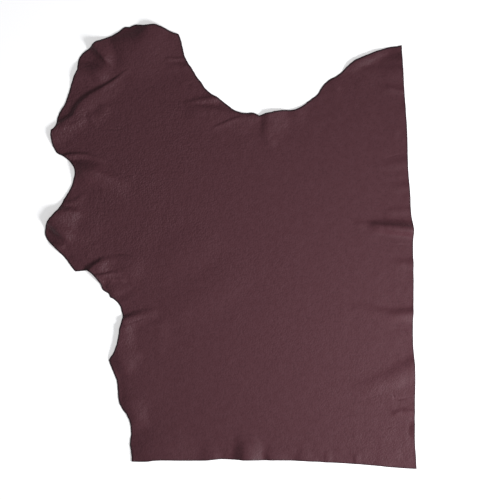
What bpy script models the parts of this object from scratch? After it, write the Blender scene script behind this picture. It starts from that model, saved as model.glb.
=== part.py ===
"""A trimmed leather hide, lying flat with its grain side up.

The skin is one soft piece, about 0.70 m wide and 0.84 m long. Two sides are straight knife
cuts, along the back and across the bottom, and the others keep the animal's own edge: the
belly side, the shank lobe and the bay beside it. It rests on its flesh side, flat where it
touches, and ripples and folds lift it here and there, most of them at its edges.

+X is towards the back cut, +Y towards the shank and +Z up. The origin is under the middle
of the skin's box, on the surface that it lies on. All tables are in millimetres, measured
from the skin's leftmost and lowest reach.
"""

from typing import NamedTuple

import bpy
import numpy as np
from mathutils import geometry

MM = 0.001
THICKNESS = 1.4
RIM_STEP = 7.5
CURVE_STEPS = 10
CREST_STEPS = 12
NARROWED = 0.5
FLAT_PITCH = 30.0
FOLD_PITCH = 8.0
FOLD_ROWS = (0.0, 0.3, 0.55, 0.8, 1.0)
CLEARANCE = 0.55

GRAIN_COLOUR = (0.078, 0.034, 0.041, 1.0)
GRAIN_ROUGHNESS = 0.5


class Fold(NamedTuple):
    """A ripple or fold: how wide it is on each side of its crest, and the crest's x, y and height."""

    name: str
    left: float
    right: float
    crest: tuple


# Each stretch of the edge starts at a corner and runs smoothly to the next one, clockwise.
EDGE = {
    "belly edge, lower": (
        (162, 14), (162, 27), (159, 50), (161, 72), (153, 101), (141, 119), (137, 140),
        (134, 166), (127, 183), (123, 194),
    ),
    "belly edge, middle": (
        (119, 205), (126, 215), (131, 226), (138, 251), (141, 272),
    ),
    "belly edge, notch": (
        (146, 287), (143, 302), (137, 312), (130, 319), (123, 322), (118, 331), (109, 336),
        (105, 345), (96, 358), (87, 367),
    ),
    "belly edge, step": (
        (79, 374), (67, 373),
    ),
    "belly lobe": (
        (57, 372), (50, 379), (41, 392), (34, 401), (21, 414), (6, 429), (0, 441), (0, 455),
        (4, 467), (12, 477), (24, 490), (36, 510), (46, 528), (52, 543), (56, 559), (53, 570),
        (46, 578), (34, 589), (22, 595), (15, 605), (11, 622),
    ),
    "shank, outer side": (
        (10, 639), (18, 646), (21, 656), (25, 669), (35, 686), (41, 701), (46, 718), (51, 732),
        (55, 744), (60, 752), (61, 768), (65, 778), (75, 788), (87, 797), (96, 805), (109, 810),
        (124, 817), (140, 826), (149, 833), (160, 834), (167, 837), (188, 837), (209, 837),
        (224, 831), (240, 823),
    ),
    "bay, shank side": (
        (251, 820), (255, 811), (259, 792), (266, 771), (280, 748), (296, 726), (308, 711),
        (327, 699), (344, 686), (362, 674), (378, 671), (393, 671),
    ),
    "bay, back side": (
        (403, 667), (421, 672), (442, 676), (463, 677), (478, 681), (495, 693), (511, 705),
        (520, 718), (533, 733), (545, 739), (561, 752), (582, 770), (612, 783), (642, 793),
        (658, 797),
    ),
    "back cut": (
        (672, 799), (673, 771), (677, 709), (682, 635), (684, 563), (688, 516), (690, 480),
        (694, 452), (693, 416), (694, 386), (694, 303), (693, 268), (694, 224), (697, 192),
        (697, 130), (697, 50), (699, 17),
    ),
    "bottom cut": (
        (700, 0), (678, 1), (653, 3), (612, 7), (555, 11), (503, 14), (461, 16), (378, 17),
        (352, 18), (323, 18), (303, 16), (205, 16), (191, 14),
    ),
}

# Left and right are seen along the crest. One that starts at the skin's edge starts on it or past it.
FOLDS = (
    Fold(
        "back cut, upper ripple", 16, 21,
        ((702, 449, 6.8), (658, 454, 6.1), (628, 457, 3.2), (600, 459, 0)),
    ),
    Fold("back cut, faint ripple", 14, 13, ((700, 388, 2.0), (675, 388, 1.5), (640, 388, 0))),
    Fold(
        "back cut, middle ripple", 17, 16,
        ((702, 295, 4.2), (664, 290, 3.7), (636, 293, 2.2), (596, 301, 1.0), (556, 308, 0)),
    ),
    Fold(
        "back cut, low ripple", 30, 24,
        ((705, 198, 3.2), (680, 186, 3.0), (652, 172, 2.3), (610, 158, 1.4), (566, 151, 0)),
    ),
    Fold("back cut, small pucker", 9, 9, ((704, 103, 2.0), (684, 108, 2.0), (664, 106, 1.4), (648, 98, 0))),
    Fold("back cut, curled rim", 12, 18, ((700, 104, 0), (701, 74, 4.0), (702, 40, 0))),
    Fold("back cut, high ripple", 14, 14, ((692, 580, 1.2), (655, 574, 1.0), (615, 568, 0))),
    Fold("back cut, second ripple", 14, 14, ((694, 531, 1.0), (668, 531, 0.8), (640, 531, 0))),
    Fold("back cut, top ripple", 12, 12, ((690, 716, 1.1), (655, 716, 0.9), (615, 716, 0))),
    Fold(
        "back corner, bay rim", 10, 20,
        ((552, 752, 0), (578, 764, 3.4), (604, 777, 3.4), (630, 789, 2.0), (652, 796, 0)),
    ),
    Fold("back corner, ripple", 60, 20, ((692, 772, 5.4), (672, 770, 4.4), (648, 767, 1.8), (622, 763, 0))),
    Fold("bay, ripple", 50, 19, ((424, 688, 5.6), (422, 664, 4.6), (419, 636, 1.8), (416, 604, 0))),
    Fold("bay, small ripple", 30, 20, ((469, 690, 2.6), (469, 666, 2.0), (468, 640, 0))),
    Fold("bay, thin crease", 12, 8, ((401, 669, 1.7), (354, 656, 1.7), (314, 637, 0))),
    Fold("shank side, upper crease", 10, 8, ((336, 702, 2.1), (291, 695, 1.9), (250, 687, 0))),
    Fold(
        "shank side, lower crease", 44, 12,
        ((372, 668, 2.8), (345, 671, 2.8), (312, 676, 3.2), (284, 680, 2.6), (250, 684, 0)),
    ),
    Fold(
        "shank, long fold", 8, 34,
        (
            (8, 636, 4.8), (39, 656, 4.6), (52, 665, 4.6), (59, 678, 4.8), (70, 692, 4.6),
            (88, 706, 4.2), (128, 730, 2.2), (172, 752, 0),
        ),
    ),
    Fold(
        "shank, tip fold", 36, 15,
        ((84, 807, 9.0), (100, 790, 9.0), (112, 777, 7.4), (121, 765, 3.6), (134, 750, 0)),
    ),
    Fold("shank, tip ripple", 22, 34, ((50, 752, 5.2), (84, 747, 5.2), (106, 748, 3.4), (126, 750, 0))),
    Fold(
        "shank, end swell", 29, 90,
        (
            (116, 800, 0), (137, 802, 5.0), (160, 804, 7.6), (182, 812, 7.0), (197, 828, 6.0),
            (205, 846, 6.0),
        ),
    ),
    Fold("belly lobe, thin crease", 11, 8, ((120, 577, 0), (98, 586, 1.3), (74, 592, 1.9), (30, 589, 3.2))),
    Fold(
        "belly lobe, valley ripple", 21, 34,
        ((50, 568, 5.0), (70, 565, 8.5), (90, 561, 8.5), (110, 553, 5.0), (130, 546, 1.8), (148, 541, 0)),
    ),
    Fold("belly lobe, upper pucker", 8, 9, ((30, 497, 1.4), (54, 502, 1.3), (68, 512, 0.8), (76, 526, 0))),
    Fold(
        "belly lobe, lower pucker", 13, 26,
        ((14, 484, 6.0), (36, 485, 6.0), (50, 484, 4.2), (64, 481, 1.8), (80, 478, 0)),
    ),
    Fold(
        "belly lobe, tip fold", 44, 17,
        ((-6, 479, 8.6), (9, 467, 8.6), (25, 452, 7.6), (38, 440, 4.2), (54, 426, 0)),
    ),
    Fold("belly lobe, tip ripple", 7, 22, ((12, 422, 2.8), (24, 421, 2.8), (34, 420, 1.6), (44, 419, 0))),
    Fold(
        "belly edge, step fold", 10, 44,
        ((72, 360, 6.0), (88, 378, 5.8), (103, 389, 4.6), (120, 395, 2.4), (138, 398, 1.2), (162, 402, 0)),
    ),
    Fold(
        "belly edge, step crease", 6, 26,
        ((82, 362, 3.8), (104, 365, 4.0), (126, 369, 3.2), (158, 374, 0)),
    ),
    Fold("belly edge, swell", 36, 40, ((160, 412, 0), (158, 392, 2.2), (152, 370, 2.2), (148, 350, 0))),
    Fold("belly edge, rolled rim", 42, 7, ((106, 354, 0), (119, 342, 2.6), (130, 330, 2.6), (138, 317, 0))),
    Fold(
        "notch, ripple", 12, 26,
        ((136, 277, 6.2), (150, 281, 5.8), (166, 287, 4.2), (194, 295, 2.0), (220, 300, 0)),
    ),
    Fold("notch, small ripple", 9, 60, ((128, 265, 5.4), (148, 266, 4.4), (172, 268, 0))),
    Fold(
        "belly point, ridge", 44, 20,
        ((122, 232, 4.4), (136, 214, 4.8), (145, 200, 5.0), (151, 187, 3.4), (158, 168, 0)),
    ),
    Fold(
        "belly edge, long swell", 80, 22,
        ((150, 200, 0), (157, 176, 2.4), (160, 150, 2.8), (160, 128, 2.6), (158, 106, 0)),
    ),
    Fold(
        "belly edge, low swell", 36, 20,
        ((150, 140, 0), (157, 124, 3.4), (165, 107, 4.6), (170, 92, 3.4), (172, 70, 0)),
    ),
    Fold("belly corner, swell", 54, 90, ((204, 4, 4.4), (204, 44, 3.6), (204, 88, 0))),
    Fold("bottom cut, first ripple", 34, 24, ((312, 6, 2.8), (313, 52, 0))),
    Fold("bottom cut, ripple", 27, 46, ((376, 6, 7.4), (376, 36, 5.0), (372, 72, 0))),
    Fold("bottom cut, third ripple", 16, 44, ((424, 6, 4.0), (424, 52, 0))),
    Fold("bottom cut, fourth ripple", 14, 36, ((483, 4, 3.2), (483, 46, 0))),
    Fold("middle, upper swell", 46, 50, ((214, 366, 0), (248, 404, 1.2), (296, 428, 1.2), (350, 440, 0))),
    Fold(
        "middle, lower swell", 52, 48,
        ((205, 276, 0), (250, 300, 1.2), (310, 332, 1.3), (352, 366, 1.0), (384, 404, 0)),
    ),
)


def clear_scene():
    """Empty the scene, so that only the hide is left in it."""
    for thing in list(bpy.data.objects):
        bpy.data.objects.remove(thing, do_unlink=True)


def edge_curve():
    """The skin's edge as a closed Bezier curve: smooth handles, and straight ones at the corners."""
    curve = bpy.data.curves.new("skin_edge", "CURVE")
    curve.dimensions = "2D"
    curve.fill_mode = "NONE"
    curve.resolution_u = CURVE_STEPS
    spline = curve.splines.new("BEZIER")
    knots = [(point, place == 0) for stretch in EDGE.values() for place, point in enumerate(stretch)]
    spline.bezier_points.add(len(knots) - 1)
    for knot, ((x, y), is_corner) in zip(spline.bezier_points, knots):
        knot.co = (x, y, 0)
        knot.handle_left_type = knot.handle_right_type = "VECTOR" if is_corner else "AUTO"
    spline.use_cyclic_u = True
    guide = bpy.data.objects.new("skin_edge", curve)
    bpy.context.scene.collection.objects.link(guide)
    return guide


def evenly_spaced(line, step):
    """Points about step apart along a polyline, from its first point up to but not at its last."""
    along = np.concatenate([[0], np.cumsum(np.linalg.norm(np.diff(line, axis=0), axis=1))])
    places = np.linspace(0, along[-1], max(1, round(along[-1] / step)), endpoint=False)
    return np.stack([np.interp(places, along, line[:, axis]) for axis in range(2)], axis=1)


def rim_points():
    """Points round the skin's edge, evenly spaced between one corner and the next."""
    guide = edge_curve()
    bpy.context.view_layer.update()
    traced = bpy.data.meshes.new_from_object(guide.evaluated_get(bpy.context.evaluated_depsgraph_get()))
    line = np.array([vertex.co[:2] for vertex in traced.vertices])
    bpy.data.meshes.remove(traced)
    bpy.data.curves.remove(guide.data)
    starts = np.cumsum([0] + [CURVE_STEPS * len(stretch) for stretch in EDGE.values()])
    closed = np.concatenate([line, line[:1]])
    return np.concatenate(
        [evenly_spaced(closed[first : last + 1], RIM_STEP) for first, last in zip(starts, starts[1:])]
    )


def crest_line(crest):
    """The crest's hand-placed points joined by a smooth curve.

    Its rows hold x, y, the height and the share of the fold's widths there, which narrow as it fades.
    """
    points = np.array(crest, float)
    slopes = np.gradient(points, axis=0)
    slopes[[0, -1], 2] = 0
    share = np.linspace(0, 1, CREST_STEPS, endpoint=False)[:, None]
    spans = [
        (1 + 2 * share) * (1 - share) ** 2 * a
        + share * (1 - share) ** 2 * slope_a
        + share**2 * (3 - 2 * share) * b
        - share**2 * (1 - share) * slope_b
        for a, b, slope_a, slope_b in zip(points, points[1:], slopes, slopes[1:])
    ]
    line = np.concatenate([*spans, points[-1:]])
    line[:, 2] = np.maximum(line[:, 2], 0)
    spread = NARROWED + (1 - NARROWED) * np.sqrt(line[:, 2] / line[:, 2].max())
    return np.column_stack([line, spread])


def fold_height(fold, points):
    """How high one fold lifts the skin at each of the points."""
    line = crest_line(fold.crest)
    nearest = np.full(len(points), np.inf)
    height = np.zeros(len(points))
    for start, end in zip(line, line[1:]):
        run = end[:2] - start[:2]
        offset = points - start[:2]
        share = np.clip(offset @ run / (run @ run), 0, 1)
        away = np.linalg.norm(offset - share[:, None] * run, axis=1)
        on_left = run[0] * offset[:, 1] - run[1] * offset[:, 0] > 0
        crest_height, spread = (start[2:] + share[:, None] * (end - start)[2:]).T
        reach = np.minimum(away / (np.where(on_left, fold.left, fold.right) * spread), 1)
        height = np.where(away < nearest, crest_height * (1 - reach**2) ** 2, height)
        nearest = np.minimum(nearest, away)
    return height


def skin_height(points):
    """How far the flesh side is above the surface: nothing where the skin lies flat.

    Where two folds meet, their heights blend as a root of squares, so that neither stands on the other.
    """
    return np.sqrt(sum(fold_height(fold, points) ** 2 for fold in FOLDS))


def fold_points(fold):
    """Points in rows along a fold, from its crest out to its two feet."""
    line = crest_line(fold.crest)
    across = np.gradient(line[:, :2], axis=0)[:, ::-1] * (-1, 1)
    across *= (line[:, 3] / np.linalg.norm(across, axis=1))[:, None]
    rows = [
        evenly_spaced(line[:, :2] + across * reach, FOLD_PITCH)
        for share in FOLD_ROWS
        for reach in (share * fold.left, -share * fold.right)
    ]
    return np.concatenate(rows)


def flat_points():
    """A triangular grid of points over the whole skin, for where it lies flat."""
    high = np.max([point for stretch in EDGE.values() for point in stretch], axis=0)
    row_gap = FLAT_PITCH * np.sqrt(3) / 2
    rows = [
        [(x + FLAT_PITCH / 2 * (number % 2), y) for x in np.arange(0, high[0], FLAT_PITCH)]
        for number, y in enumerate(np.arange(0, high[1], row_gap))
    ]
    return np.concatenate(rows)


def kept_apart(kept, candidates, gap):
    """The kept points, with each candidate that is at least gap from all of them."""
    kept = list(kept)
    for point in candidates:
        if np.min(np.linalg.norm(np.array(kept) - point, axis=1)) >= gap:
            kept.append(point)
    return np.array(kept)


def sheet_mesh():
    """The flesh side as an open mesh: the outline filled with triangles, and lifted by the folds."""
    rim = rim_points()[::-1]
    points = rim
    for fold in FOLDS:
        narrow = min(fold.left, fold.right)
        points = kept_apart(points, fold_points(fold), min(CLEARANCE * FOLD_PITCH, narrow * 0.28))
    points = kept_apart(points, flat_points(), CLEARANCE * FLAT_PITCH)
    corners, _, faces, *_ = geometry.delaunay_2d_cdt(
        [tuple(point) for point in points], [], [list(range(len(rim)))], 1, 1e-4
    )
    flat = np.array(corners)
    centre = (rim.min(axis=0) + rim.max(axis=0)) / 2
    places = np.column_stack([flat - centre, skin_height(flat)]) * MM
    mesh = bpy.data.meshes.new("leather_hide")
    mesh.from_pydata(places.tolist(), [], faces)
    if mesh.polygons[0].normal.z < 0:
        mesh.flip_normals()
    return mesh


def grain_leather():
    """Full-grain leather, dyed a dark oxblood."""
    material = bpy.data.materials.new("grain_leather")
    material.use_nodes = True
    shader = material.node_tree.nodes["Principled BSDF"]
    shader.inputs["Base Color"].default_value = GRAIN_COLOUR
    shader.inputs["Roughness"].default_value = GRAIN_ROUGHNESS
    shader.inputs["Metallic"].default_value = 0.0
    return material


def leather_hide(collection):
    """The hide: the flesh side's sheet, thickened upwards to the grain side."""
    hide = bpy.data.objects.new("leather_hide", sheet_mesh())
    collection.objects.link(hide)
    hide.data.materials.append(grain_leather())
    hide.data.shade_smooth()
    thicken = hide.modifiers.new("thickness", "SOLIDIFY")
    thicken.thickness = THICKNESS * MM
    thicken.offset = 1.0
    thicken.use_even_offset = True
    return hide


def main():
    clear_scene()
    collection = bpy.data.collections.new("leather hide")
    bpy.context.scene.collection.children.link(collection)
    leather_hide(collection)


main()
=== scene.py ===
"""The looks of a leather hide: grain face, flesh side and raw edge, and the studio that it lies in.

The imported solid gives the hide's outline, folds and place. One finely meshed sheet is laid on
that shape, with the small wrinkles, the soft unevenness and the rounded edge of real leather.

Sizes and tables are in millimetres, measured from the hide's leftmost and lowest reach, and
finished pieces are in metres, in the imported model's own frame.
"""

import logging
from dataclasses import dataclass
from enum import Enum
from typing import NamedTuple, Union

import bmesh
import bpy
import numpy as np
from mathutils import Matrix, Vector, geometry, kdtree


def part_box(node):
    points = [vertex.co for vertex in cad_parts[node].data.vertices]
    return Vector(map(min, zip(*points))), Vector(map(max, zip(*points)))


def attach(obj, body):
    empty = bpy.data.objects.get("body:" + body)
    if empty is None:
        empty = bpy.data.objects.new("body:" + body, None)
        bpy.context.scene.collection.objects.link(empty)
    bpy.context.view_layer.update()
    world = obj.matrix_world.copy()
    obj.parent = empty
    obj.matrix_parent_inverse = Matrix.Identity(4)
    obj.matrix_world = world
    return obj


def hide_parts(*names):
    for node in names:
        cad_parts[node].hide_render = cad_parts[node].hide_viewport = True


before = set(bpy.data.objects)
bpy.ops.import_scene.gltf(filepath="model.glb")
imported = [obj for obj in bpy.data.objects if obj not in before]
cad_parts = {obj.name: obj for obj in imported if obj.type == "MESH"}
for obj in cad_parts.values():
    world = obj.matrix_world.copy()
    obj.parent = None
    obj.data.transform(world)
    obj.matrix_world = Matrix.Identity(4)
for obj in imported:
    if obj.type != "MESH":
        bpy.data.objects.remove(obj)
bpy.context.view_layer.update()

MM = 0.001
NODE = "leather_hide"
log = logging.getLogger("hide")

# The sheet's flat map and its two notes, which the grain's finish reads: how loose the grain is, and the
# weight of its painted rim shade.
CUT_MAP = "cut"
LOOSE_GRAIN = "loose_grain"
PAINTED_RIM_SHADE = "painted_rim_shade"

Array = np.ndarray
Colour = tuple[float, float, float, float]
Line = tuple[tuple[float, float], ...]
Socket = bpy.types.NodeSocket
Value = Union[float, tuple, Socket]


class Side(Enum):
    """The hide's faces, each with the number of its material slot."""

    GRAIN = 0
    FLESH = 1
    EDGE = 2


class Crease(NamedTuple):
    """A low ridge along a line of x, y points. Its widths are those of its sides, seen along the line.

    A negative height makes a hollow.
    """

    name: str
    left: float
    right: float
    height: float
    line: Line


class Wrinkle(NamedTuple):
    """A soft trough with a low lip on each side, along a line of x, y points."""

    name: str
    width: float
    depth: float
    line: Line


class Patch(NamedTuple):
    """A round area where the grain is looser, or tighter if the change is negative."""

    name: str
    x: float
    y: float
    reach: float
    change: float


# These bend the whole hide. Listed from the shank's tip, anticlockwise round the hide.
CREASES = (
    Crease("shank, tip, slope into the fold", 34, 44, 2.6, ((88, 732), (110, 752), (126, 778))),
    Crease("shank, tip, far swell", 30, 34, 1.3, ((112, 812), (132, 790), (146, 764), (156, 742))),
    Crease("shank end, bright side", 46, 24, 2.2, ((198, 856), (195, 832), (187, 808), (176, 786))),
    Crease("shank, tip fold, sharp line", 18, 5, 2.2,
           ((78, 810), (90, 799), (100, 788), (111, 776), (121, 760))),
    Crease("long fold, its end", 3.5, 9, 1.1, ((92, 708), (128, 731), (150, 748), (166, 756))),
    Crease("shank, dark patch", 14, 20, 1.8, ((76, 662), (98, 668), (110, 678), (116, 694))),
    Crease("shank, short crease", 9, 6, 0.7, ((78, 668), (88, 656), (100, 642))),
    Crease("shank foot, crossing crease", 7, 8, 0.8, ((20, 641), (44, 646), (62, 652), (78, 664))),
    Crease("belly lobe, crease line", 4, 7, 0.9, ((18, 588), (53, 593), (75, 593), (92, 588), (116, 578))),
    Crease("belly lobe, valley tail", 15, 36, 2.4,
           ((58, 562), (92, 556), (112, 549), (134, 540), (164, 530))),
    Crease("belly lobe, lower pucker line", 14, 44, 1.9, ((4, 482), (30, 484), (46, 483), (68, 478))),
    Crease("belly lobe, slope from the tip", 36, 150, 3.6, ((24, 408), (38, 431), (52, 456))),
    Crease("belly lobe, tip fold, sharp line", 14, 8, 1.2,
           ((-8, 480), (8, 465), (22, 452), (38, 438), (52, 423))),
    Crease("belly lobe, broad swell", 50, 60, 2.2, ((20, 515), (52, 486), (72, 456), (84, 424))),
    Crease("belly lobe, pucker line", 4, 6, 0.3, ((30, 498), (53, 504), (65, 513), (74, 527))),
    Crease("step, thin crease", 4, 9, 1.1, ((76, 363), (98, 364.5), (110, 365.5), (126, 370))),
    Crease("step, first streak", 7, 4, 0.8, ((110, 360), (128, 357), (146, 357), (158, 353))),
    Crease("step, second streak", 4, 7, 0.8, ((136, 362), (146, 354), (157, 345), (160, 336))),
    Crease("step, rim hollow", 34, 6, -1.3, ((100, 356), (119, 340), (130, 328), (142, 310))),
    Crease("notch, small ripple, tail", 16, 90, 1.7, ((130, 265), (160, 267), (196, 270), (240, 272))),
    Crease("notch, ripple, crest", 5, 12, 0.6,
           ((110, 276), (136, 279), (152, 283), (170, 290), (190, 297))),
    Crease("notch, hollow", 7, 9, -2.6, ((104, 274), (122, 275), (134, 275.5), (150, 277))),
    Crease("belly edge, low rim", 84, 26, -1.3,
           ((148, 196), (157, 164), (162, 130), (168, 100), (172, 70))),
    Crease("bottom cut, ripple, crest", 13, 30, 0.8, ((380, -12), (380, 14), (378, 34), (374, 54))),
    Crease("bottom cut, third ripple, crest", 8, 40, 0.5, ((427, -10), (427, 12), (425, 30))),
    Crease("bottom cut, small ripple", 6, 12, 0.9, ((588, -6), (586, 16), (584, 32))),
    Crease("bottom cut, shallow ripple", 7, 12, 0.6, ((533, -6), (532, 18), (530, 38))),
    Crease("back cut, curled rim, eased", 10, 24, -1.6, ((706, 108), (702, 74), (703, 32))),
    Crease("back cut, upper ripple, crest", 9, 20, 2.2, ((606, 459), (640, 457), (668, 455), (712, 451))),
    Crease("back cut, upper ripple, tail", 8, 14, 0.8, ((580, 461), (608, 462), (634, 462))),
    Crease("back cut, third ripple", 10, 16, 0.9, ((636, 485), (662, 487), (712, 490))),
    Crease("back corner, long line", 12, 40, 1.1, ((570, 751), (600, 751), (660, 752), (715, 752))),
    Crease("back corner, side line", 6, 10, 0.8, ((640, 722), (658, 716), (680, 710))),
    Crease("bay, back side, bump", 11, 11, 0.8, ((536, 733), (546, 724), (556, 714))),
    Crease("bay, ripple, foot", 34, 18, 1.8, ((414, 706), (413, 680), (411, 654))),
    Crease("bay, small ripple, eased", 20, 24, -0.6, ((474, 700), (471, 672), (468, 645))),
    Crease("bay, ripple, tail", 16, 12, 1.0, ((404, 648), (416, 628), (434, 606))),
    Crease("bay, thin line", 4, 8, 1.0, ((308, 638), (333, 650), (352, 658), (376, 665))),
    Crease("shank side, upper line", 4, 7, 0.3,
           ((228, 687), (250, 688), (286, 694), (318, 698), (342, 703))),
    Crease("shank side, first ridge", 5, 6, 1.2, ((222, 773), (246, 773), (276, 774))),
    Crease("shank side, second ridge", 9, 14, 1.1, ((224, 758), (250, 759), (286, 760))),
)

# These mark the grain alone.
WRINKLES = (
    Wrinkle("shank, above the long fold", 3.0, 0.52, ((66, 718), (80, 722), (97, 721))),
    Wrinkle("shank, tip, second line", 3.4, 0.45, ((64, 772), (80, 770), (97, 762), (112, 750))),
    Wrinkle("shank, tip, cross line", 3.4, 0.40, ((150, 830), (160, 815), (170, 800))),
    Wrinkle("back cut, short pucker", 3.4, 0.55, ((655, 144), (658, 134), (666, 131), (684, 134))),
    Wrinkle("shank, outer side", 2.6, 0.28, ((70, 728), (84, 733), (99, 731))),
    Wrinkle("shank, outer side, low", 2.4, 0.28, ((58, 706), (67, 712), (80, 713))),
    Wrinkle("shank, outer edge, short", 2.4, 0.25, ((40, 692), (49, 697), (58, 698))),
    Wrinkle("shank, under the tip", 3.0, 0.30, ((66, 757), (84, 761), (98, 757))),
    Wrinkle("shank, tip, outer line", 2.6, 0.30, ((68, 781), (80, 778), (92, 771))),
    Wrinkle("shank, beside the tip groove", 2.6, 0.30, ((126, 797), (134, 789), (139, 778))),
    Wrinkle("shank, slanting line", 2.4, 0.25, ((128, 816), (140, 794), (148, 776), (159, 757))),
    Wrinkle("shank, below the long fold", 3.4, 0.45, ((79, 648), (92, 649), (108, 644), (120, 637))),
    Wrinkle("shank, long low line", 3.0, 0.60, ((112, 642), (132, 640), (144, 641), (155, 633))),
    Wrinkle("shank, crossing line", 2.4, 0.28, ((106, 661), (117, 668), (131, 672))),
    Wrinkle("shank, middle line", 2.4, 0.22, ((160, 700), (172, 688), (186, 680))),
    Wrinkle("shank, middle, second", 2.4, 0.20, ((176, 724), (190, 714), (206, 708))),
    Wrinkle("bay, shank side, low", 2.6, 0.30, ((290, 732), (276, 728), (262, 722))),
    Wrinkle("belly lobe, upper line", 2.4, 0.28, ((88, 524), (97, 518), (104, 508))),
    Wrinkle("belly lobe, middle line", 2.4, 0.25, ((84, 500), (95, 494), (103, 485))),
    Wrinkle("belly lobe, low line", 2.4, 0.25, ((62, 462), (76, 455), (88, 445))),
    Wrinkle("belly lobe, inner line", 2.6, 0.22, ((118, 470), (126, 458), (132, 444))),
    Wrinkle("step fold, its end", 3.4, 0.52, ((128, 405), (146, 406), (166, 402))),
    Wrinkle("step fold, under it", 2.6, 0.28, ((122, 384), (138, 387), (154, 386))),
    Wrinkle("notch, its line", 2.6, 0.30, ((150, 272), (172, 279), (196, 287))),
    Wrinkle("notch, inner line", 2.4, 0.22, ((196, 262), (214, 266), (230, 272))),
    Wrinkle("belly point, upper line", 3.0, 0.30, ((134, 220), (154, 211), (176, 198))),
    Wrinkle("belly point, low line", 2.6, 0.28, ((150, 176), (164, 178), (180, 175))),
    Wrinkle("belly edge, slanting line", 2.6, 0.25, ((164, 140), (176, 131), (188, 118))),
    Wrinkle("belly corner, upper line", 2.6, 0.22, ((176, 74), (186, 64), (192, 50))),
    Wrinkle("bottom, small mark", 3.4, 0.45, ((572, 141), (579, 140), (587, 137))),
    Wrinkle("back cut, low line", 2.8, 0.30, ((640, 76), (654, 80), (668, 78))),
    Wrinkle("back cut, middle line", 2.8, 0.25, ((652, 262), (668, 265), (690, 263))),
    Wrinkle("back cut, upper line", 2.8, 0.25, ((650, 420), (670, 423), (694, 421))),
    Wrinkle("back cut, thin line", 2.4, 0.25, ((640, 585), (656, 590), (680, 596))),
)

# Where the grain is looser than in the hide's middle, or tighter.
PATCHES = (
    Patch("back, towards the shank", 600, 660, 210, -0.42),
    Patch("back, middle", 620, 380, 120, -0.15),
    Patch("flank corner", 655, 70, 120, 0.36),
    Patch("middle", 390, 280, 140, 0.20),
    Patch("shank and belly", 120, 560, 230, 1.45),
)


def outline_points(packed: Array, corner_turn: float, steps: int) -> Array:
    """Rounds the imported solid's edge off into a fine closed line.

    Args:
        packed: The solid's edge points, in order.
        corner_turn: The turn, in degrees, past which an edge point stays a corner.
        steps: How many points each stretch between two edge points gets.

    Returns:
        The fine line's points.
    """
    ahead = np.roll(packed, -1, axis=0)
    behind = np.roll(packed, 1, axis=0)
    run, next_run = packed - behind, ahead - packed
    cosine = (run * next_run).sum(1) / (np.linalg.norm(run, axis=1) * np.linalg.norm(next_run, axis=1))
    is_corner = cosine < np.cos(np.radians(corner_turn))
    tangent = np.where(is_corner[:, None], 0, (ahead - behind) / 2)
    share = np.linspace(0, 1, steps, endpoint=False)[:, None, None]
    line = (
        (1 + 2 * share) * (1 - share) ** 2 * packed
        + share * (1 - share) ** 2 * tangent
        + share**2 * (3 - 2 * share) * ahead
        - share**2 * (1 - share) * np.roll(tangent, -1, axis=0)
    )
    return line.swapaxes(0, 1).reshape(-1, 2)


def outward(line: Array) -> Array:
    """The unit normals of a closed line, which runs anticlockwise, pointing out of it."""
    along = np.roll(line, -1, axis=0) - np.roll(line, 1, axis=0)
    normal = np.column_stack([along[:, 1], -along[:, 0]])
    return normal / np.linalg.norm(normal, axis=1)[:, None]


def blurred(values: Array, cells: float) -> Array:
    """Values on a grid, or along a closed line, smoothed over about that many cells."""
    waves = np.fft.fftn(values)
    for axis, count in enumerate(values.shape):
        weight = np.exp(-2 * (np.pi * cells * np.fft.fftfreq(count)) ** 2)
        waves *= weight.reshape([-1 if axis == other else 1 for other in range(values.ndim)])
    return np.fft.ifftn(waves).real


def eased(line: Array, points: float) -> Array:
    """A closed line with its corners rounded off over about that many points."""
    return np.column_stack([blurred(line[:, axis], points) for axis in range(2)])


class Unevenness(NamedTuple):
    """Smooth random bumps, each a few times as wide as their size, in cells or steps."""

    amount: float
    size: float
    seed: int

    def over(self, shape: tuple) -> Array:
        """The value in each cell of a map, or at each step of a closed line."""
        noise = blurred(np.random.default_rng(self.seed).standard_normal(shape), self.size)
        return self.amount * ((noise - noise.mean()) / noise.std())


class Streaks(NamedTuple):
    """Smooth random streaks, with a length and width in cells and a turn in degrees from +X."""

    length: float
    width: float
    turn: float
    seed: int

    def over(self, shape: tuple) -> Array:
        """The value in each cell of a map, with a spread of 1."""
        waves = np.fft.fft2(np.random.default_rng(self.seed).standard_normal(shape))
        waves_y, waves_x = np.meshgrid(*(np.fft.fftfreq(count) for count in shape), indexing="ij")
        cosine, sine = np.cos(np.radians(self.turn)), np.sin(np.radians(self.turn))
        run = (waves_x * cosine + waves_y * sine) * self.length
        side = (waves_y * cosine - waves_x * sine) * self.width
        noise = np.fft.ifft2(waves * np.exp(-2 * np.pi**2 * (run**2 + side**2))).real
        return (noise - noise.mean()) / noise.std()


def inside(points: Array, ring: Array) -> Array:
    """Tells which points are inside a closed ring. The points lie in rows of one y each.

    Args:
        points: Rows of x and y.
        ring: The ring's points, in order.

    Returns:
        A true or false value for each point.
    """
    result = np.zeros(len(points), bool)
    ends = np.roll(ring, -1, axis=0)
    rows, row_of = np.unique(points[:, 1], return_inverse=True)
    order = np.argsort(row_of, kind="stable")
    starts = np.searchsorted(row_of[order], np.arange(len(rows) + 1))
    for row, y in enumerate(rows):
        crosses = (ring[:, 1] > y) != (ends[:, 1] > y)
        share = (y - ring[crosses, 1]) / (ends[crosses, 1] - ring[crosses, 1])
        hits = np.sort(ring[crosses, 0] + share * (ends[crosses, 0] - ring[crosses, 0]))
        members = order[starts[row] : starts[row + 1]]
        result[members] = np.searchsorted(hits, points[members, 0]) % 2 == 1
    return result


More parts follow.
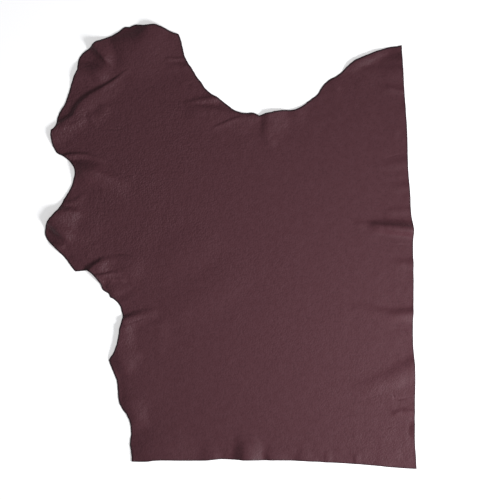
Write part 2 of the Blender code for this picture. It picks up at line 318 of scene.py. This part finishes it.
def nearest(points: Array, line: Array) -> tuple[Array, Array]:
    """Finds the point of a line that is nearest to each of some points, seen from above.

    Args:
        points: Rows that start with x and y.
        line: The line's points.

    Returns:
        The number of each nearest point on the line, and how far it is.
    """
    tree = kdtree.KDTree(len(line))
    for number, (x, y) in enumerate(line):
        tree.insert((x, y, 0), number)
    tree.balance()
    found = [tree.find((x, y, 0))[1:] for x, y in points[:, :2]]
    numbers, away = (np.array(column) for column in zip(*found))
    return numbers, away


def vertex_places(mesh: bpy.types.Mesh) -> Array:
    """The x, y and z of a mesh's vertices, in metres."""
    places = np.empty(len(mesh.vertices) * 3)
    mesh.vertices.foreach_get("co", places)
    return places.reshape(-1, 3)


@dataclass
class PackedSkin:
    """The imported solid's flesh side, which is the sheet that the folds were made on."""

    points: Array
    slopes: Array
    triangles: Array
    edge: Array

    @classmethod
    def read(cls, node: bpy.types.Object, low: Vector, faces_down: float = -0.5) -> "PackedSkin":
        """Takes the flesh side off a merged copy of the solid.

        Args:
            node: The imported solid's object.
            low: The hide's lowest corner, in metres.
            faces_down: A face belongs to the flesh side if its normal's z is below this.

        Returns:
            The flesh side, in millimetres from that corner.
        """
        solid = bmesh.new()
        solid.from_mesh(node.data)
        bmesh.ops.remove_doubles(solid, verts=solid.verts, dist=0.01 * MM)
        solid.normal_update()
        others = [face for face in solid.faces if face.normal.z > faces_down]
        bmesh.ops.delete(solid, geom=others, context="FACES")
        solid.normal_update()
        solid.verts.index_update()
        points = np.array([vertex.co - low for vertex in solid.verts]) / MM
        normals = np.array([vertex.normal for vertex in solid.verts])
        triangles = np.array([[vertex.index for vertex in face.verts] for face in solid.faces])
        edge = cls.edge_loop(solid)
        solid.free()
        return cls(points, -normals[:, :2] / normals[:, 2:], triangles, edge)

    @staticmethod
    def edge_loop(sheet: bmesh.types.BMesh) -> Array:
        """The numbers of an open sheet's edge vertices, in order, anticlockwise from above."""
        following = {}
        for edge in sheet.edges:
            if edge.is_boundary:
                corner = edge.link_loops[0]
                following[corner.link_loop_next.vert.index] = corner.vert.index
        start = min(following)
        loop = [start]
        while following[loop[-1]] != start:
            loop.append(following[loop[-1]])
        return np.array(loop)


@dataclass
class Relief:
    """A height map of the hide: a cell each millimetre, and a margin round the hide's box."""

    heights: Array
    margin: int = 8

    @classmethod
    def of_skin(cls, skin: PackedSkin, margin: int = 8) -> "Relief":
        """Spreads the solid's heights over the map, curved between its points as its slopes say."""
        width, length = np.ceil(skin.points[:, :2].max(axis=0)).astype(int) + 2 * margin + 1
        heights = np.full((length, width), np.nan)
        for corners in skin.triangles:
            (ax, ay), (bx, by), (cx, cy) = skin.points[corners, :2] + margin
            left, low = int(np.ceil(min(ax, bx, cx))), int(np.ceil(min(ay, by, cy)))
            right, high = int(max(ax, bx, cx)), int(max(ay, by, cy))
            ys, xs = np.mgrid[low : high + 1, left : right + 1]
            area = (bx - ax) * (cy - ay) - (cx - ax) * (by - ay)
            if abs(area) < 1e-6 or xs.size == 0:
                continue
            share_b = ((xs - ax) * (cy - ay) - (cx - ax) * (ys - ay)) / area
            share_c = ((bx - ax) * (ys - ay) - (xs - ax) * (by - ay)) / area
            shares = (1 - share_b - share_c, share_b, share_c)
            total = 0
            for share, corner in zip(shares, corners):
                (x, y, z), (slope_x, slope_y) = skin.points[corner], skin.slopes[corner]
                lean = slope_x * (xs - x - margin) + slope_y * (ys - y - margin)
                total = total + share * (z + lean / 2)
            within = np.minimum.reduce(shares) > -1e-6
            heights[low : high + 1, left : right + 1][within] = total[within]
        return cls(cls.spread_out(heights, 2 * margin), margin)

    @staticmethod
    def spread_out(heights: Array, rounds: int) -> Array:
        """Fills the empty cells round the hide with the mean of their neighbours, a ring at a time."""
        for _ in range(rounds):
            near = np.stack([np.roll(heights, move, axis) for move in (-1, 1) for axis in (0, 1)])
            counted = (~np.isnan(near)).sum(axis=0)
            filled = np.nansum(near, axis=0) / np.maximum(counted, 1)
            heights = np.where(np.isnan(heights) & (counted > 0), filled, heights)
        return np.nan_to_num(heights)

    def grid(self) -> tuple[Array, Array]:
        """The x and y of each cell."""
        ys, xs = np.mgrid[0 : self.heights.shape[0], 0 : self.heights.shape[1]]
        return xs - float(self.margin), ys - float(self.margin)

    def at(self, points: Array, layer: Array) -> Array:
        """Reads a layer of the map at points between its cells.

        Args:
            points: Rows of x and y, in millimetres.
            layer: An array of the map's own shape.

        Returns:
            The layer's value at each point.
        """
        x, y = (points[:, :2] + self.margin).T
        column = np.clip(x.astype(int), 0, layer.shape[1] - 2)
        row = np.clip(y.astype(int), 0, layer.shape[0] - 2)
        right, up = x - column, y - row
        low = layer[row, column] * (1 - right) + layer[row, column + 1] * right
        high = layer[row + 1, column] * (1 - right) + layer[row + 1, column + 1] * right
        return low * (1 - up) + high * up

    def distance_to(self, line: Array, step: int = 4) -> Array:
        """How far each cell is from the nearest point of a line.

        Args:
            line: The line's points.
            step: How many cells apart the distance is measured. It is blended in between.

        Returns:
            The distance, in millimetres.
        """
        xs, ys = self.grid()
        coarse_x, coarse_y = xs[::step, ::step], ys[::step, ::step]
        away = nearest(np.column_stack([coarse_x.ravel(), coarse_y.ravel()]), line)[1]
        coarse = Relief(away.reshape(coarse_x.shape), 0)
        where = np.column_stack([xs.ravel(), ys.ravel()]) + self.margin
        return coarse.at(where / step, coarse.heights).reshape(xs.shape)

    def beside(self, line: Array, reach: float) -> tuple[tuple, Array, Array]:
        """Measures the cells near a line.

        Args:
            line: The line's points, in order.
            reach: How far from the line a cell may be.

        Returns:
            Where those cells are on the map, how far each is to the line's left (negative to its
            right), and how far along the line it is, from 0 to 1.
        """
        low = np.maximum(np.floor(line.min(axis=0) - reach).astype(int) + self.margin, 0)
        high = np.maximum(np.ceil(line.max(axis=0) + reach).astype(int) + self.margin, 0)
        window = np.s_[low[1] : high[1] + 1, low[0] : high[0] + 1]
        xs, ys = (axis[window] for axis in self.grid())
        lengths = np.linalg.norm(np.diff(line, axis=0), axis=1)
        aside = np.full(xs.shape, np.inf)
        along = np.zeros(xs.shape)
        for start, end, length, before in zip(line, line[1:], lengths, np.cumsum(lengths) - lengths):
            run = (end - start) / length
            step = np.clip((xs - start[0]) * run[0] + (ys - start[1]) * run[1], 0, length)
            away = np.hypot(xs - start[0] - step * run[0], ys - start[1] - step * run[1])
            on_left = run[0] * (ys - start[1]) > run[1] * (xs - start[0])
            nearer = away < np.abs(aside)
            along = np.where(nearer, (before + step) / lengths.sum(), along)
            aside = np.where(nearer, np.where(on_left, away, -away), aside)
        return window, aside, along

    def crease(self, crease: Crease, fade: float = 0.25) -> Array:
        """How much one crease raises the hide in each cell.

        Args:
            crease: The crease.
            fade: The share of its length over which each end rises out of the hide.

        Returns:
            The change in height.
        """
        change = np.zeros_like(self.heights)
        window, aside, along = self.beside(np.array(crease.line, float), max(crease.left, crease.right))
        across = np.where(aside > 0, aside / crease.left, -aside / crease.right)
        profile = np.cos(np.pi / 2 * np.minimum(across, 1)) ** 2
        rise = np.clip(np.minimum(along, 1 - along) / fade, 0, 1)
        change[window] = crease.height * rise**2 * (3 - 2 * rise) * profile
        return change

    def wrinkle(self, wrinkle: Wrinkle, lips: float = 2.2, blunt: float = 0.6) -> Array:
        """How much one wrinkle raises or lowers the grain in each cell.

        Args:
            wrinkle: The wrinkle.
            lips: How strong its lips are, beside the trough.
            blunt: The power that its ends fade with: 1 tapers, and less stays deep for longer.

        Returns:
            The change in height.
        """
        change = np.zeros_like(self.heights)
        window, aside, along = self.beside(np.array(wrinkle.line, float), 2.5 * wrinkle.width)
        across = (aside / wrinkle.width) ** 2
        strength = wrinkle.depth * np.sin(np.pi * along) ** blunt
        change[window] = strength * (lips * across - 1) * np.exp(-2 * across)
        return change

    def curvature(self) -> Array:
        """How strongly the heights bend in each cell, in 1/mm."""
        slope_y, slope_x = np.gradient(self.heights)
        bend_yy, bend_yx = np.gradient(slope_y)
        bend_xx = np.gradient(slope_x, axis=1)
        return np.sqrt(bend_yy**2 + 2 * bend_yx**2 + bend_xx**2)


@dataclass
class Nodes:
    """Adds nodes to a tree and joins them."""

    tree: bpy.types.NodeTree

    def add(self, kind: str, inputs: dict, **settings: object) -> bpy.types.Node:
        """Makes one node.

        Args:
            kind: The node's type name.
            inputs: For a socket's name or number, its value or the socket that feeds it.
            settings: The node's own properties.

        Returns:
            The node.
        """
        node = self.tree.nodes.new(kind)
        for name, value in settings.items():
            setattr(node, name, value)
        self.feed(node, inputs)
        return node

    def feed(self, node: bpy.types.Node, inputs: dict) -> None:
        """Gives inputs of a node their values, or joins them to the sockets that feed them."""
        for socket, value in inputs.items():
            if isinstance(value, Socket):
                self.tree.links.new(value, node.inputs[socket])
            else:
                node.inputs[socket].default_value = value

    def maths(self, operation: str, *values: Value) -> Socket:
        """The result of one sum, product or the like."""
        return self.add("ShaderNodeMath", dict(enumerate(values)), operation=operation).outputs[0]

    def mix(self, share: Value, first: Value, second: Value) -> Socket:
        """A colour between two colours."""
        return self.add("ShaderNodeMix", {0: share, 6: first, 7: second}, data_type="RGBA").outputs[2]

    def ramp(self, value: Socket, low: float, high: float) -> Socket:
        """A value stretched so that low becomes 0 and high becomes 1, with soft ends."""
        inputs = {"Value": value, "From Min": low, "From Max": high}
        return self.add("ShaderNodeMapRange", inputs, interpolation_type="SMOOTHSTEP").outputs[0]

    def noise(
        self, place: Socket, scale: float, detail: float, rough: float = 0.5, output: str = "Fac"
    ) -> Socket:
        """Cloudy noise from 0 to 1.

        Args:
            place: The coordinates that it follows.
            scale: How many clouds there are in a metre.
            detail: How many finer layers lie on them.
            rough: How strong each finer layer is, against the one before.
            output: The noise node's output.

        Returns:
            The noise.
        """
        inputs = {"Vector": place, "Scale": scale, "Detail": detail, "Roughness": rough}
        return self.add("ShaderNodeTexNoise", inputs).outputs[output]

    def note(self, name: str) -> Socket:
        """A value that the mesh notes on each vertex."""
        return self.add("ShaderNodeAttribute", {}, attribute_name=name).outputs["Fac"]

    def bump(self, height: Socket, depth: float) -> Socket:
        """The normals of a height from 0 to 1 that stands for a depth in millimetres."""
        inputs = {"Height": height, "Distance": depth * MM, "Strength": 1.0}
        return self.add("ShaderNodeBump", inputs).outputs[0]


def new_material(name: str) -> tuple[bpy.types.Material, Nodes, bpy.types.Node]:
    """An empty node material: the material, its nodes and its shader."""
    material = bpy.data.materials.new(name)
    material.use_nodes = True
    return material, Nodes(material.node_tree), material.node_tree.nodes["Principled BSDF"]


@dataclass(frozen=True)
class GrainFinish:
    """The dyed grain face: an oxblood colour over a fine, uneven pebble.

    Sizes are in millimetres, and scales are counts in a metre. The depth is that of a whole pebble,
    and the depths of pores and drawn lines are shares of it.
    """

    name: str = "oxblood_grain"
    colour: Colour = (0.0745, 0.0222, 0.0292, 1.0)
    # Painted shade: a darker tone in the crevices between the pebbles and in their pores.
    painted_crevice_shade: Colour = (0.062, 0.0180, 0.0240, 1.0)
    worn: Colour = (0.0800, 0.0248, 0.0328, 1.0)
    # Painted shade along the hide's rim, standing in for the shadow of its rounded edge, together with a
    # darker, pressed rim.
    edge: Colour = (0.020, 0.0062, 0.0095, 1.0)
    roughness: float = 0.52
    roughness_drift: float = 0.16
    specular: float = 0.3
    pebble: float = 3.4
    pore: float = 0.75
    drawn: float = 7.0
    cloud_scale: float = 90.0
    patch_scale: float = 14.0
    wander_scale: float = 260.0
    wander: float = 2.2
    depth: float = 0.14
    pore_depth: float = 0.35
    drawn_depth: float = 3.2
    patch_depth: tuple = (0.6, 0.7)

    def material(self) -> bpy.types.Material:
        """Makes the finish. Its pattern follows the cut's own flat map, in metres."""
        material, nodes, shader = new_material(self.name)
        flat = nodes.add("ShaderNodeUVMap", {}, uv_map=CUT_MAP).outputs[0]
        cloudy = nodes.noise(flat, self.cloud_scale, 4.0)
        pebbled = self.pebbled(nodes, flat)
        tone = nodes.mix(nodes.ramp(cloudy, 0.35, 0.7), self.colour, self.worn)
        # Painted shade, darker where the pebbles dip and in the pores.
        tone = nodes.mix(nodes.ramp(pebbled, 0.1, -0.25), tone, self.painted_crevice_shade)
        # Painted shade along the hide's rim, strongest at the edge itself.
        tone = nodes.mix(nodes.ramp(nodes.note(PAINTED_RIM_SHADE), 0.0, 0.6), tone, self.edge)
        smoothest = self.roughness - self.roughness_drift / 2
        nodes.feed(shader, {
            "Base Color": tone,
            "Roughness": nodes.maths("MULTIPLY_ADD", cloudy, self.roughness_drift, smoothest),
            "Normal": nodes.bump(self.height(nodes, flat, pebbled), self.depth),
            "Specular IOR Level": self.specular,
        })
        return material

    def pebbled(self, nodes: Nodes, flat: Socket) -> Socket:
        """The height of the pebbles and their pores, on cells that wander a little."""
        drift = nodes.noise(flat, self.wander_scale, 2.0, output="Color")
        inputs = {0: drift, 1: (self.wander * MM,) * 3, 2: flat}
        shifted = nodes.add("ShaderNodeVectorMath", inputs, operation="MULTIPLY_ADD").outputs[0]
        dome = nodes.ramp(self.cells(nodes, shifted, self.pebble), 0.75, 0.1)
        return nodes.maths("MULTIPLY_ADD", self.cells(nodes, shifted, self.pore), -self.pore_depth, dome)

    def cells(self, nodes: Nodes, place: Socket, size: float) -> Socket:
        """The distance from the middle of the nearest of many cells of one size."""
        inputs = {"Vector": place, "Scale": 1 / (size * MM), "Smoothness": 0.35}
        settings = {"voronoi_dimensions": "2D", "feature": "SMOOTH_F1"}
        return nodes.add("ShaderNodeTexVoronoi", inputs, **settings).outputs["Distance"]

    def height(self, nodes: Nodes, flat: Socket, pebbled: Socket) -> Socket:
        """The grain's height: pebbles and drawn lines, stronger where the leather is looser."""
        drawn = nodes.noise(flat, 1 / (self.drawn * MM), 1.5)
        coarse = nodes.maths("MULTIPLY_ADD", drawn, self.drawn_depth, pebbled)
        patches = nodes.ramp(nodes.noise(flat, self.patch_scale, 3.0), 0.3, 0.75)
        uneven = nodes.maths("MULTIPLY_ADD", patches, *self.patch_depth)
        return nodes.maths("MULTIPLY", coarse, nodes.maths("MULTIPLY", nodes.note(LOOSE_GRAIN), uneven))


@dataclass(frozen=True)
class FibreFinish:
    """Bare leather fibre, dyed through: the suede of the flesh side, or the raw cut edge.

    Sizes are in millimetres, and the scale is a count in a metre.
    """

    name: str
    colour: Colour
    shade: Colour
    nap: float
    depth: float
    brushed_scale: float = 45.0
    roughness: float = 0.95
    specular: float = 0.2
    sheen: float = 0.25
    sheen_roughness: float = 0.6

    def material(self) -> bpy.types.Material:
        """Makes the finish, which reads the piece's own coordinates."""
        material, nodes, shader = new_material(self.name)
        place = nodes.add("ShaderNodeTexCoord", {}).outputs["Object"]
        nap = nodes.noise(place, 1 / (self.nap * MM), 5.0, rough=0.7)
        brushed = nodes.noise(place, self.brushed_scale, 3.0)
        both = nodes.maths("MULTIPLY_ADD", brushed, 0.5, nodes.maths("MULTIPLY", nap, 0.5))
        nodes.feed(shader, {
            "Base Color": nodes.mix(nodes.ramp(both, 0.35, 0.65), self.shade, self.colour),
            "Roughness": self.roughness,
            "Normal": nodes.bump(nap, self.depth),
            "Specular IOR Level": self.specular,
            "Sheen Weight": self.sheen,
            "Sheen Roughness": self.sheen_roughness,
        })
        return material


GRAIN = GrainFinish()
FLESH = FibreFinish("oxblood_suede", (0.15, 0.068, 0.074, 1.0), (0.105, 0.044, 0.050, 1.0), 0.9, 0.25)
RAW_EDGE = FibreFinish("raw_cut_edge", (0.060, 0.021, 0.027, 1.0), (0.034, 0.011, 0.015, 1.0), 0.5, 0.15)


class Layer(NamedTuple):
    """One ring of the rim's rounded section: its inset from the edge, and its share of the thickness."""

    cut_inset: float
    cut_level: float
    own_inset: float
    own_level: float


class Fineness(NamedTuple):
    """How fine the mesh of a face is.

    Each level of the lattice, which is half as fine as the one before, is used where the hide bends
    by more than its limit, in 1/mm. The second level is also used near the edge.
    """

    limits: tuple
    near_edge: float


class Face(NamedTuple):
    """A face of the sheet: its points, which start with the rim's, and its triangles."""

    points: Array
    triangles: Array


@dataclass
class Hide:
    """The skin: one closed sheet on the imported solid's folds, grain side up. Sizes are in millimetres."""

    thickness: float = 1.4
    edge_thickness: float = 1.05
    thinning_reach: float = 45.0
    fold_blur: float = 0.8
    slope_blur: float = 1.0
    bend_blur: float = 1.2

    swell: tuple = (Unevenness(1.0, 9.0, 21), Unevenness(0.6, 4.5, 22))
    even_swell: float = 0.12
    edge_swell: float = 0.30
    swell_reach: float = 50.0
    drawn: tuple = (Streaks(8.0, 3.0, -50.0, 23), Streaks(7.0, 3.0, 35.0, 24))
    drawn_depth: float = 0.05

    even_grain: float = 0.56
    edge_grain: float = 0.35
    loose_reach: float = 70.0
    grain_limits: tuple = (0.1, 1.9)

    cut_rim: float = 0.5
    # How far in from the edge the painted rim shade reaches, in millimetres.
    painted_rim_reach: float = 4.0
    own_rag: tuple = (Unevenness(0.30, 3.0, 11), Unevenness(0.14, 1.0, 12))
    cut_rag: tuple = (Unevenness(0.10, 4.0, 13), Unevenness(0.05, 1.0, 14))
    corner_turn: float = 38.0
    corner_ease: float = 1.1
    edge_steps: int = 5
    edge_stride: int = 3
    back_corner: tuple = (672, 799)
    belly_corner: tuple = (162, 14)
    rim: tuple = (
        Layer(1.40, 1.00, 1.60, 1.00),
        Layer(0.30, 0.99, 0.75, 0.88),
        Layer(0.05, 0.88, 0.22, 0.62),
        Layer(0.00, 0.15, 0.00, 0.22),
        Layer(0.30, 0.00, 0.55, 0.00),
    )

    lattice: float = 1.25
    rim_clearance: float = 0.9
    grain_mesh: Fineness = Fineness((0.07, 0.007, 0.0015), 5.0)
    flesh_mesh: Fineness = Fineness((1.0, 0.05, 0.006), 3.0)

    def build(self, node: bpy.types.Object) -> bpy.types.Object:
        """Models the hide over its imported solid.

        Args:
            node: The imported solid's object.

        Returns:
            The finished sheet, with its three finishes.
        """
        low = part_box(NODE)[0]
        skin = PackedSkin.read(node, low)
        log.info("packed skin: %d triangles, %d edge points", len(skin.triangles), len(skin.edge))
        relief = Relief.of_skin(skin)
        relief.heights = np.maximum(blurred(relief.heights, self.fold_blur), 0)
        edge = outline_points(skin.points[skin.edge, :2], self.corner_turn, self.edge_steps)
        is_cut = self.cut_share(edge)
        edge = edge + outward(edge) * self.raggedness(is_cut)[:, None]
        from_own = relief.distance_to(edge[is_cut < 0.5][:: self.edge_stride])
        flesh = self.flesh_heights(relief, relief.distance_to(edge[:: self.edge_stride]))
        grain = self.grain_heights(relief, flesh, from_own)
        bend = blurred(Relief(grain, relief.margin).curvature(), self.bend_blur)
        rings = [self.ring(edge, is_cut, layer) for layer in self.rim]
        levels = [is_cut * layer.cut_level + (1 - is_cut) * layer.own_level for layer in self.rim]
        top = self.fill(rings[0], relief, bend, self.grain_mesh)
        under = self.fill(rings[-1], relief, bend, self.flesh_mesh)
        hide = self.assemble(relief, flesh, grain, rings, levels, top, under, low)
        self.mark(hide.data, relief, self.looseness(relief, from_own), edge, is_cut, low)
        return hide

    def cut_share(self, edge: Array) -> Array:
        """1 for each edge point on a knife cut, 0 on the skin's own edge, with short changes between."""
        corners = (self.back_corner, self.belly_corner)
        back, belly = (int(np.argmin(np.linalg.norm(edge - corner, axis=1))) for corner in corners)
        after_belly = (np.arange(len(edge)) - belly) % len(edge)
        cut = after_belly <= (back - belly) % len(edge)
        return np.clip(blurred(cut.astype(float), 1.5), 0, 1)

    def raggedness(self, is_cut: Array) -> Array:
        """How far each edge point is moved out: a little on a knife cut, more on the skin's own edge."""
        own, cut = (sum(part.over(is_cut.shape) for part in rag) for rag in (self.own_rag, self.cut_rag))
        return is_cut * cut + (1 - is_cut) * own

    def flesh_heights(self, relief: Relief, from_edge: Array) -> Array:
        """The flesh side's heights: the solid's folds, the finer creases and a soft swell.

        Args:
            relief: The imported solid's heights.
            from_edge: How far each cell is from the edge.

        Returns:
            The height in each cell.
        """
        bends = sum(relief.crease(crease) for crease in CREASES)
        bumps = sum(part.over(relief.heights.shape) for part in self.swell)
        swell = 0.5 + 0.5 * np.clip(bumps, -1, 2)
        strength = self.even_swell + self.edge_swell * np.exp(-from_edge / self.swell_reach)
        return np.maximum(relief.heights + bends + swell * strength, 0)

    def grain_heights(self, relief: Relief, flesh: Array, from_own: Array) -> Array:
        """The grain side's heights: the flesh side's, the leather's thickness and the wrinkles.

        Args:
            relief: The map that the heights are on.
            flesh: The flesh side's heights.
            from_own: How far each cell is from the skin's own edge.

        Returns:
            The height in each cell.
        """
        slope_y, slope_x = np.gradient(blurred(flesh, self.slope_blur))
        thin = (self.thickness - self.edge_thickness) * np.exp(-((from_own / self.thinning_reach) ** 2))
        thick = (self.thickness - thin) * np.sqrt(1 + slope_x**2 + slope_y**2)
        drawn = sum(streaks.over(flesh.shape) for streaks in self.drawn)
        wrinkles = sum(relief.wrinkle(wrinkle) for wrinkle in WRINKLES)
        return flesh + thick + (wrinkles + self.drawn_depth * self.near_own(from_own) * drawn)

    def near_own(self, from_own: Array) -> Array:
        """1 at the skin's own edge, and less the further a cell is from it."""
        return np.exp(-((from_own / self.loose_reach) ** 1.5))

    def looseness(self, relief: Relief, from_own: Array) -> Array:
        """How loose the grain is: more near the skin's own edge, and as the patches say.

        Args:
            relief: The map that it is on.
            from_own: How far each cell is from the skin's own edge.

        Returns:
            The strength of the grain's pattern in each cell.
        """
        xs, ys = relief.grid()
        loose = self.even_grain + self.edge_grain * self.near_own(from_own)
        for patch in PATCHES:
            loose += patch.change * np.exp(-((xs - patch.x) ** 2 + (ys - patch.y) ** 2) / patch.reach**2)
        return np.clip(loose, *self.grain_limits)

    def ring(self, edge: Array, is_cut: Array, layer: Layer) -> Array:
        """The outline drawn in to one layer of the rim."""
        inset = is_cut * layer.cut_inset + (1 - is_cut) * layer.own_inset
        line = eased(edge, inset.max() * self.corner_ease)
        return line - outward(line) * inset[:, None]

    def fill(self, ring: Array, relief: Relief, bend: Array, fineness: Fineness) -> Face:
        """Fills a ring with a triangle mesh that is finer where the hide bends.

        Args:
            ring: The ring's points, in order.
            relief: The map that bend is on.
            bend: How strongly the hide bends in each cell.
            fineness: How fine the mesh is.

        Returns:
            The filled face.
        """
        wide, high = ring.max(axis=0)
        row_height = self.lattice * np.sqrt(0.75)
        across = np.arange(-int(high / self.lattice), int(wide / self.lattice) + 1)
        i, j = (axis.ravel() for axis in np.meshgrid(across, np.arange(int(high / row_height) + 1)))
        points = np.column_stack([(i + j / 2) * self.lattice, j * row_height])
        coarsest = 2 ** len(fineness.limits)
        by_bend = (i % coarsest == 0) & (j % coarsest == 0)
        bent = relief.at(points, bend)
        for level, limit in enumerate(fineness.limits):
            by_bend |= (i % 2**level == 0) & (j % 2**level == 0) & (bent > limit)
        useful = by_bend | ((i % 2 == 0) & (j % 2 == 0))
        useful &= (points[:, 0] > 0) & (points[:, 0] < wide)
        points, by_bend = points[useful], by_bend[useful]
        within = inside(points, ring)
        points, by_bend = points[within], by_bend[within]
        away = nearest(points, ring)[1]
        points = points[(by_bend | (away < fineness.near_edge)) & (away > self.rim_clearance)]
        everything = np.concatenate([ring, points])
        places, _, faces, origins, *_ = geometry.delaunay_2d_cdt(
            [tuple(point) for point in everything], [], [list(range(len(ring)))], 1, 1e-5
        )
        if len(places) != len(everything):
            raise ValueError("a ring of the rim crosses itself")
        number_of = np.array([min(sources) for sources in origins])
        return Face(everything, number_of[np.array(faces)])

    def assemble(
        self, relief: Relief, flesh: Array, grain: Array, rings: list, levels: list, top: Face, under: Face,
        low: Vector,
    ) -> bpy.types.Object:
        """Joins the two faces and the rim into one closed mesh.

        Args:
            relief: The map that the heights are on.
            flesh: The flesh side's heights.
            grain: The grain side's heights.
            rings: The rim's rings, from the grain face down to the flesh face.
            levels: Each ring's share of the thickness.
            top: The grain face.
            under: The flesh face.
            low: The hide's lowest corner, in metres.

        Returns:
            The hide.
        """
        count = len(rings[0])
        parts = [np.column_stack([top.points, relief.at(top.points, grain)])]
        for ring, level in zip(rings[1:-1], levels[1:-1]):
            bottom, over = relief.at(ring, flesh), relief.at(ring, grain)
            parts.append(np.column_stack([ring, bottom + level * (over - bottom)]))
        parts.append(np.column_stack([under.points, relief.at(under.points, flesh)]))
        starts = np.cumsum([0] + [len(part) for part in parts])
        here = np.arange(count)
        there = (here + 1) % count
        walls = np.concatenate([
            np.column_stack([upper + here, lower + here, lower + there, upper + there])
            for upper, lower in zip(starts, starts[1 : len(parts)])
        ])
        downward = under.triangles[:, ::-1] + starts[-2]
        faces = [*top.triangles.tolist(), *downward.tolist(), *walls.tolist()]
        mesh = bpy.data.meshes.new("hide_skin")
        mesh.from_pydata((np.concatenate(parts) * MM + np.array(low)).tolist(), [], faces)
        counts = (len(top.triangles), len(downward), count, len(walls) - count)
        sides = (Side.GRAIN, Side.FLESH, Side.GRAIN, Side.EDGE)
        mesh.polygons.foreach_set("material_index", np.repeat([side.value for side in sides], counts))
        mesh.validate()
        mesh.shade_smooth()
        self.map_cut(mesh)
        for finish in (GRAIN, FLESH, RAW_EDGE):
            mesh.materials.append(finish.material())
        hide = bpy.data.objects.new("hide_skin", mesh)
        bpy.context.scene.collection.objects.link(hide)
        return hide

    def mark(
        self, mesh: bpy.types.Mesh, relief: Relief, loose: Array, edge: Array, is_cut: Array, low: Vector
    ) -> None:
        """Notes on each vertex how loose the grain is there, and how near the hide's edge it is, as the
        weight of the grain's painted rim shade, which is weaker on knife cuts.

        Args:
            mesh: The hide's mesh.
            relief: The map that loose is on.
            loose: How loose the grain is.
            edge: The outline's points.
            is_cut: 1 for each of them on a knife cut.
            low: The hide's lowest corner, in metres.
        """
        places = (vertex_places(mesh) - np.array(low)) / MM
        numbers, away = nearest(places, edge)
        rim = np.clip(1 - away / self.painted_rim_reach, 0, 1) * (1 - self.cut_rim * is_cut[numbers])
        notes = {LOOSE_GRAIN: relief.at(places, loose), PAINTED_RIM_SHADE: rim}
        for name, values in notes.items():
            mesh.attributes.new(name, "FLOAT", "POINT").data.foreach_set("value", values.astype(np.float32))

    def map_cut(self, mesh: bpy.types.Mesh) -> None:
        """Gives the mesh its flat map, in metres, as the skin was cut."""
        corners = np.empty(len(mesh.loops), int)
        mesh.loops.foreach_get("vertex_index", corners)
        layer = mesh.uv_layers.new(name=CUT_MAP)
        layer.data.foreach_set("uv", vertex_places(mesh)[corners, :2].ravel())


@dataclass
class Studio:
    """A pale floor, a soft key light from the lower right, an even sky and the camera straight above."""

    camera_at: tuple = (0.036, -0.006, 2.2)
    focal_length: float = 84.0
    sensor_width: float = 36.0
    floor_half: float = 6.0
    floor_gap: float = 0.2
    floor_white: float = 0.86
    floor_glow: float = 0.45
    floor_roughness: float = 0.9
    floor_specular: float = 0.1
    sky: float = 0.30
    sky_colour: Colour = (0.96, 0.965, 0.99, 1.0)
    key_at: tuple = (1.60, -0.845, 1.03)
    key_size: float = 0.7
    key_power: float = 12.5
    key_spread: float = 80.0
    key_aim: tuple = (0.10, -0.07, 0.0)
    key_colour: tuple = (0.97, 0.975, 1.0)

    def build(self) -> None:
        """Makes the floor, the lights and the camera."""
        self.floor()
        self.lights()
        self.camera()

    def floor(self) -> None:
        """Lays a plain pale floor just under the hide."""
        half, drop = self.floor_half, -self.floor_gap * MM
        mesh = bpy.data.meshes.new("floor")
        corners = [(-half, -half, drop), (half, -half, drop), (half, half, drop), (-half, half, drop)]
        mesh.from_pydata(corners, [], [(0, 1, 2, 3)])
        material, nodes, shader = new_material("pale_floor")
        nodes.feed(shader, {
            "Base Color": (self.floor_white,) * 3 + (1.0,),
            "Roughness": self.floor_roughness,
            "Specular IOR Level": self.floor_specular,
            "Emission Color": (1.0, 1.0, 1.0, 1.0),
            "Emission Strength": self.floor_glow,
        })
        mesh.materials.append(material)
        plane = bpy.data.objects.new("floor", mesh)
        bpy.context.scene.collection.objects.link(plane)

    def lights(self) -> None:
        """Hangs the key light, aimed at the hide, under an even pale sky."""
        data = bpy.data.lights.new("key", "AREA")
        data.shape = "DISK"
        data.size = self.key_size
        data.energy = self.key_power
        data.color = self.key_colour
        data.spread = np.radians(self.key_spread)
        key = bpy.data.objects.new("key", data)
        key.location = self.key_at
        aim = Vector(self.key_aim) - Vector(self.key_at)
        key.rotation_euler = aim.to_track_quat("-Z", "Y").to_euler()
        bpy.context.scene.collection.objects.link(key)
        world = bpy.data.worlds.new("sky")
        world.use_nodes = True
        backdrop = {"Color": self.sky_colour, "Strength": self.sky}
        Nodes(world.node_tree).feed(world.node_tree.nodes["Background"], backdrop)
        bpy.context.scene.world = world

    def camera(self) -> None:
        """Sets the camera straight above the hide, as in the photograph."""
        data = bpy.data.cameras.new("camera")
        data.lens = self.focal_length
        data.sensor_width = self.sensor_width
        camera = bpy.data.objects.new("camera", data)
        camera.location = self.camera_at
        bpy.context.scene.collection.objects.link(camera)
        bpy.context.scene.camera = camera
        bpy.context.scene.view_settings.view_transform = "Standard"


def main() -> None:
    """Builds the studio and the hide, and hands them over."""
    logging.basicConfig(level=logging.INFO, format="%(name)s: %(message)s")
    Studio().build()
    hide = Hide().build(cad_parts[NODE])
    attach(hide, "root")
    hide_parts(NODE)


if __name__ == "__main__":
    main()
